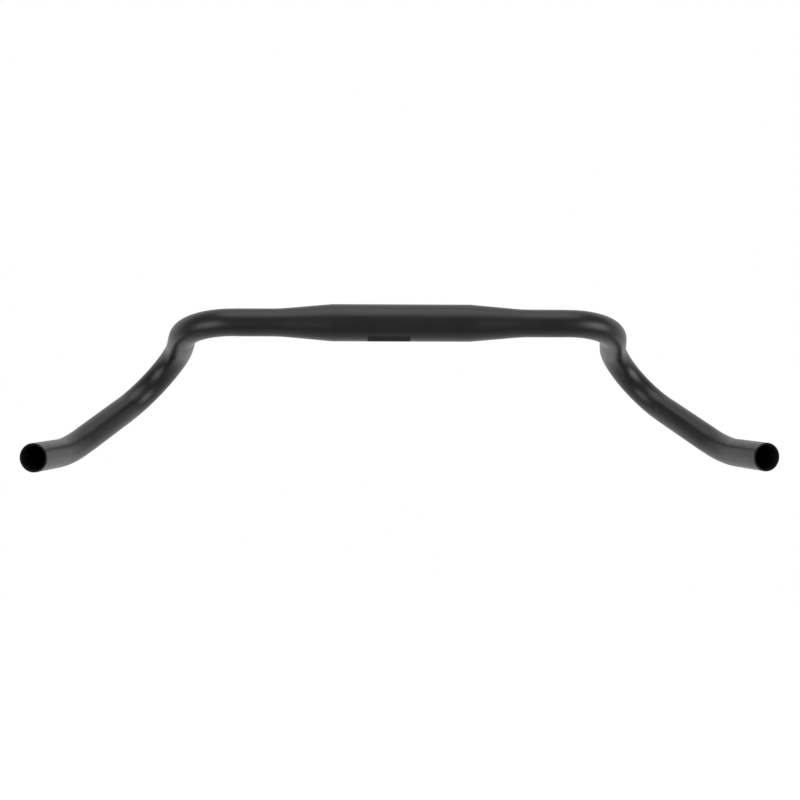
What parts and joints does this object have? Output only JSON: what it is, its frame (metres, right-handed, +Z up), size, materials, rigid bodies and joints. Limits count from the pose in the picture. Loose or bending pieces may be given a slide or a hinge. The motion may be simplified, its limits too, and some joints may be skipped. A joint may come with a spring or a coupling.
{
  "type": "gravel drop handlebar",
  "caption": "Flared drop handlebar in satin black aluminium: thick tapered clamp zone, rounded hooks and open bar ends that sweep outward.",
  "frame": {"origin": "middle of the clamp zone, on its axis", "axes": "+X along the clamp zone to the rider's right, +Y forward, +Z up"},
  "size_m": [0.6202, 0.1596, 0.1403],
  "materials": {
    "black_anodised": "satin"
  },
  "bodies": {
    "root": {"handlebar": "black_anodised"}
  },
  "joints": []
}
